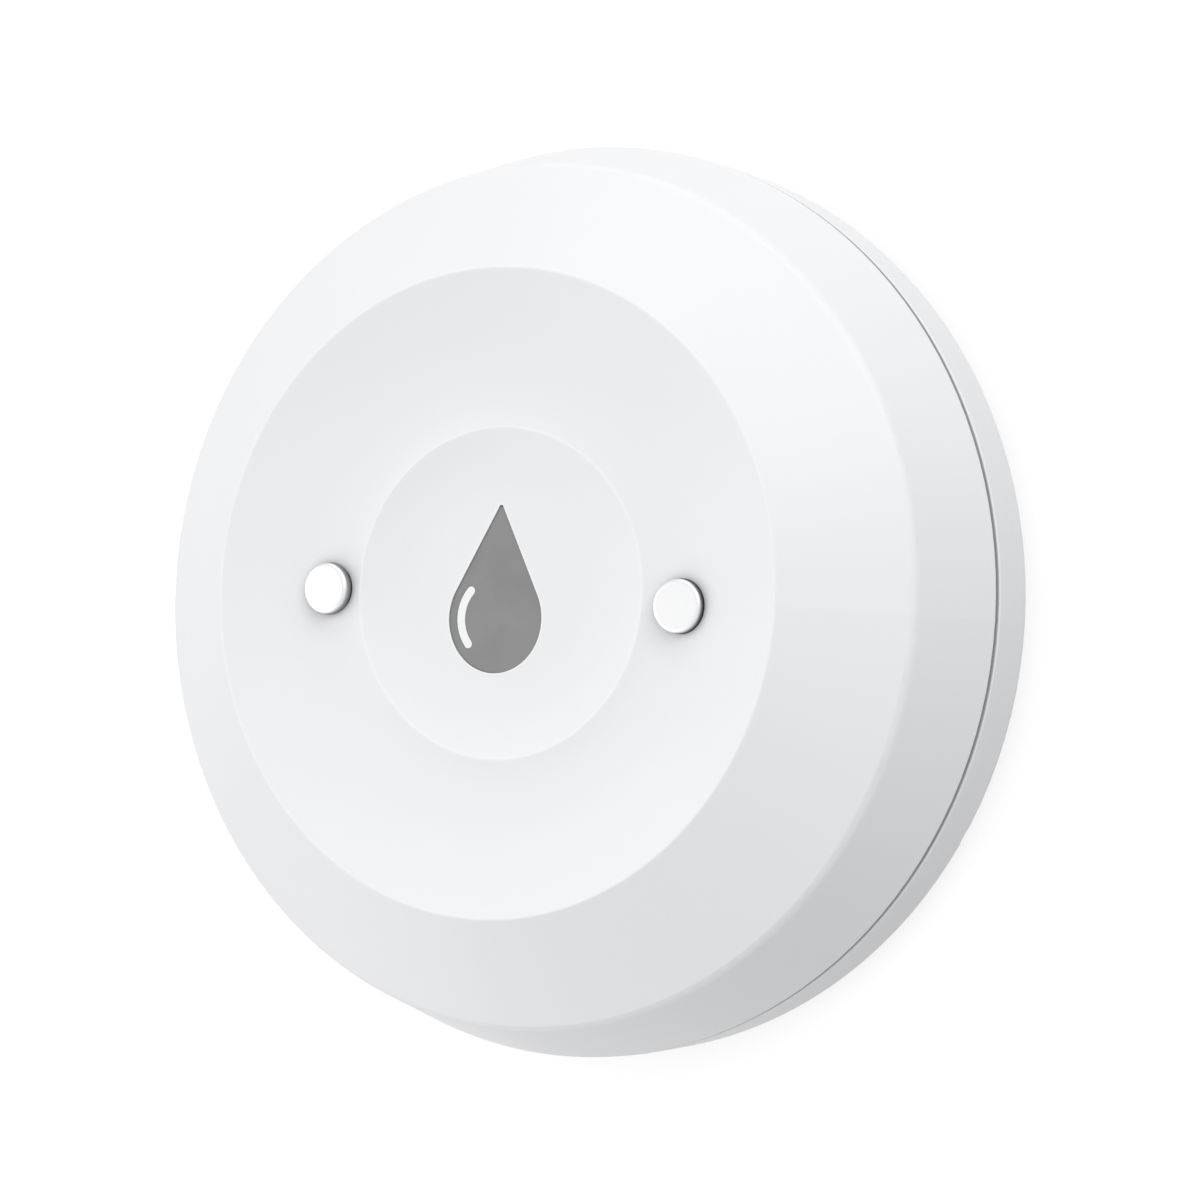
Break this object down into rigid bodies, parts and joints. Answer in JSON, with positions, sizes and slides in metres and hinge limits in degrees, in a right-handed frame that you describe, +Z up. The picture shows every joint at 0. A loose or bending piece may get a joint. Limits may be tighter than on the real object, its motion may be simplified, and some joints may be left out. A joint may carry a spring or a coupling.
{
  "type": "water leak sensor",
  "caption": "Round white floor sensor with a dished face, polished drip probes and a grey drop window; its upper housing twists off the base.",
  "frame": {"origin": "middle of the underside, on the floor that the rubber feet stand on", "axes": "+Z up along the axis of the disc, out of the dished face; +X towards the right drip probe; +Y towards the tip of the drop window"},
  "size_m": [0.07, 0.07, 0.0206],
  "materials": {
    "shell_white": "satin white moulded plastic",
    "window_grey": "smooth grey translucent plastic",
    "guide_white": "milky translucent plastic",
    "probe_steel": "polished stainless steel",
    "seal_rubber": "black silicone rubber",
    "foot_rubber": "grey rubber",
    "plain_steel": "plated steel",
    "contact_brass": "gold plated brass",
    "board_green": "green solder mask",
    "module_black": "dark solder mask",
    "cell_steel": "brushed stainless steel",
    "holder_black": "black moulded plastic",
    "contact_nickel": "nickel plated spring steel",
    "shield_tin": "tinned steel",
    "track_copper": "gold plated copper",
    "led_white": "white ceramic with a clear lens",
    "switch_black": "black plastic",
    "button_grey": "grey plastic",
    "chip_black": "black epoxy with tinned legs",
    "capacitor_tan": "tan epoxy",
    "resistor_black": "black glazed ceramic"
  },
  "bodies": {
    "base": {"base_cover": "shell_white", "floor_probes": "probe_steel", "floor_probe_seals": "seal_rubber", "rubber_feet": "foot_rubber", "board_screws": "plain_steel", "floor_probe_posts": "contact_brass", "contact_sleeves": "contact_brass", "circuit_board": "board_green", "radio_module": "module_black", "battery_cell": "cell_steel", "battery_holder": "holder_black", "battery_plus_clip": "contact_nickel", "battery_minus_contact": "contact_nickel", "radio_shield": "shield_tin", "quartz_crystal": "shield_tin", "antenna": "track_copper", "indicator_led": "led_white", "pairing_switch": "switch_black", "sensing_chip": "chip_black", "capacitors": "capacitor_tan", "resistors": "resistor_black"},
    "seal": {"seal_ring": "seal_rubber"},
    "housing": {"top_shell": "shell_white", "drop_window": "window_grey", "light_guide": "guide_white", "drip_probes": "probe_steel", "drip_probe_seals": "seal_rubber", "drip_probe_washers": "plain_steel", "drip_probe_nuts": "plain_steel"},
    "pairing_plunger": {"pairing_button": "button_grey"},
    "left_pin": {"contact_pin_left": "contact_brass"},
    "right_pin": {"contact_pin_right": "contact_brass"}
  },
  "joints": [
    {"name": "cover_twist", "type": "hinge", "parent": "base", "child": "seal", "pos_m": [0, 0, 0.009], "axis": [0, 0, 1], "range_deg": [0, 288]},
    {"name": "cover_lift", "type": "slide", "parent": "seal", "child": "housing", "axis": [0, 0, 1], "range_m": [0, 0.02401]},
    {"name": "pairing_press", "type": "slide", "parent": "base", "child": "pairing_plunger", "axis": [0, 0, -1], "range_m": [0, 0.00025], "stiffness_N_per_m": 400},
    {"name": "left_pin_press", "type": "slide", "parent": "base", "child": "left_pin", "axis": [0, 0, -1], "range_m": [0, 0.001], "stiffness_N_per_m": 150},
    {"name": "right_pin_press", "type": "slide", "parent": "base", "child": "right_pin", "axis": [0, 0, -1], "range_m": [0, 0.001], "stiffness_N_per_m": 150}
  ],
  "couplings": [
    {"joint": "cover_lift", "follows": "cover_twist", "m_per_rad": 0.0047747}
  ]
}
